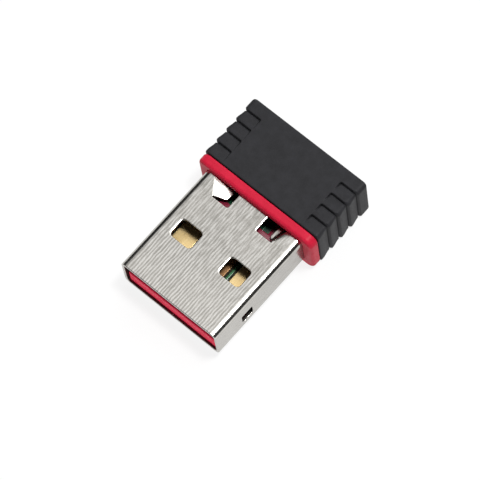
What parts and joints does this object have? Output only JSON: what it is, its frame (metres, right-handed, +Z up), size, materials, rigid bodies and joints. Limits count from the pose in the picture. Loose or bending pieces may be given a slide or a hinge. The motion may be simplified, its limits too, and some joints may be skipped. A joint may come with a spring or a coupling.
{
  "type": "usb wifi adapter",
  "caption": "Nano USB wireless adapter: metal USB-A plug, red plastic collar and tray holding a circuit board with gold contacts, and a short black ribbed end cap.",
  "frame": {"origin": "middle of the footprint, on the underside of the end cap", "axes": "+Z up, the plug points along -Y, +X to the right seen from above with the plug towards the viewer"},
  "size_m": [0.0142, 0.0208, 0.0061],
  "materials": {
    "shell_metal": "nickel-plated steel sheet, drawn lengthwise, fine streaks along the plug",
    "red_plastic": "satin moulded red plastic",
    "black_plastic": "fine-textured matte black plastic",
    "board_green": "green solder mask on a glass-fibre board",
    "contact_gold": "gold-plated copper pads, satin",
    "antenna_copper": "printed copper track under thin mask",
    "chip_black": "moulded black epoxy",
    "can_metal": "pressed nickel can",
    "ferrite_grey": "sintered dark grey ferrite",
    "capacitor_ceramic": "tan ceramic with tinned ends"
  },
  "bodies": {
    "root": {"usb_shell": "shell_metal", "insulator_carrier": "red_plastic", "end_cap": "black_plastic", "circuit_board": "board_green", "contact_vbus": "contact_gold", "contact_data_minus": "contact_gold", "contact_data_plus": "contact_gold", "contact_ground": "contact_gold", "antenna_trace": "antenna_copper", "wifi_chip": "chip_black", "crystal_can": "can_metal", "power_inductor": "ferrite_grey", "input_capacitor": "capacitor_ceramic", "output_capacitor": "capacitor_ceramic", "core_capacitor": "capacitor_ceramic", "crystal_capacitor_left": "capacitor_ceramic", "crystal_capacitor_right": "capacitor_ceramic", "antenna_match_capacitor": "capacitor_ceramic", "antenna_match_inductor": "ferrite_grey", "data_resistor_left": "chip_black", "data_resistor_right": "chip_black", "bias_resistor": "chip_black"}
  },
  "joints": []
}
